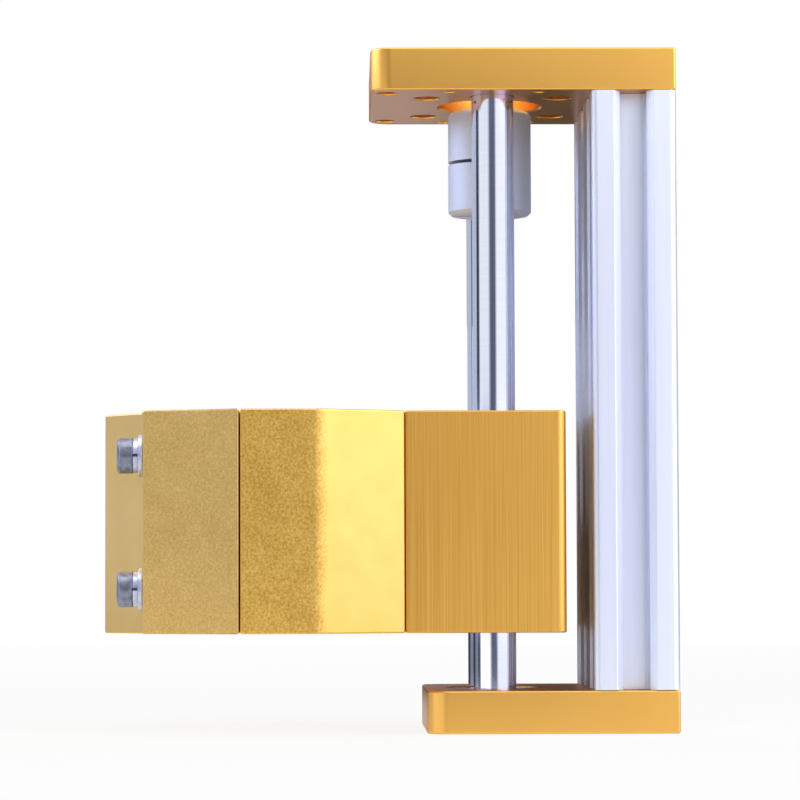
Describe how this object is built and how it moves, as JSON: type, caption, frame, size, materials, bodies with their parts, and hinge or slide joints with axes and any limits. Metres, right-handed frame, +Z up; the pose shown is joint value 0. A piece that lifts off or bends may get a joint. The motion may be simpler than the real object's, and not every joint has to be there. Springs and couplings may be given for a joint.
{
  "type": "cnc z-axis module",
  "caption": "Vertical screw-driven slide with a split clamp for a round spindle, guide rods, a V-slot back and a plate for a square stepper motor.",
  "frame": {"origin": "point on the underside of the bottom plate, on the lead screw's axis", "axes": "+Z up along the lead screw, +Y from the screw back to the profile, -Y to the spindle, X across"},
  "size_m": [0.08, 0.1345, 0.16],
  "materials": {
    "gold_plate": "gold anodised, fine satin",
    "gold_block": "gold anodised, extruded and brushed along Z",
    "gold_clamp": "gold anodised, sandblasted",
    "profile": "clear anodised, satin",
    "ground_steel": "ground and polished",
    "rolled_steel": "rolled thread",
    "bearing_steel": "ground",
    "coupling": "matt, fine blasted",
    "screw_steel": "zinc plated, knurled heads",
    "washer": "zinc plated, bright",
    "brass": "turned",
    "polymer": "black"
  },
  "bodies": {
    "frame": {"top_plate": "gold_plate", "bottom_plate": "gold_plate", "rear_profile": "profile", "guide_rod_left": "ground_steel", "guide_rod_right": "ground_steel", "rod_screw_top_left": "screw_steel", "rod_screw_top_right": "screw_steel", "rod_screw_bottom_left": "screw_steel", "rod_screw_bottom_right": "screw_steel", "profile_screw_top_1": "screw_steel", "profile_screw_top_2": "screw_steel", "profile_screw_top_3": "screw_steel", "profile_screw_bottom_1": "screw_steel", "profile_screw_bottom_2": "screw_steel", "profile_screw_bottom_3": "screw_steel", "bearing_outer_ring": "bearing_steel"},
    "screw": {"lead_screw": "rolled_steel", "coupling": "coupling", "coupling_screw_upper": "screw_steel", "coupling_screw_lower": "screw_steel", "bearing_inner_ring": "bearing_steel"},
    "carriage": {"carriage_block": "gold_block", "lead_nut": "brass", "nut_screw_front": "screw_steel", "nut_screw_rear": "screw_steel", "bush_sleeve_lower_left": "bearing_steel", "bush_sleeve_lower_right": "bearing_steel", "bush_sleeve_upper_left": "bearing_steel", "bush_sleeve_upper_right": "bearing_steel", "bush_retainer_lower_left": "polymer", "bush_retainer_lower_right": "polymer", "bush_retainer_upper_left": "polymer", "bush_retainer_upper_right": "polymer", "spindle_bracket": "gold_clamp", "clamp_cap": "gold_clamp", "bracket_screw_lower_left": "screw_steel", "bracket_screw_lower_right": "screw_steel", "bracket_screw_upper_left": "screw_steel", "bracket_screw_upper_right": "screw_steel", "cap_screw_lower_left": "screw_steel", "cap_screw_lower_right": "screw_steel", "cap_screw_upper_left": "screw_steel", "cap_screw_upper_right": "screw_steel", "spring_washer_lower_left": "washer", "spring_washer_lower_right": "washer", "spring_washer_upper_left": "washer", "spring_washer_upper_right": "washer", "flat_washer_lower_left": "washer", "flat_washer_lower_right": "washer", "flat_washer_upper_left": "washer", "flat_washer_upper_right": "washer"}
  },
  "joints": [
    {"name": "screw_spin", "type": "hinge", "parent": "frame", "child": "screw", "pos_m": [0, 0, 0.1], "axis": [0, 0, 1], "range_deg": [-4320, 1170]},
    {"name": "carriage_slide", "type": "slide", "parent": "frame", "child": "carriage", "axis": [0, 0, 1], "range_m": [-0.013, 0.048]}
  ],
  "couplings": [
    {"joint": "screw_spin", "follows": "carriage_slide", "rad_per_m": -1570.8}
  ]
}
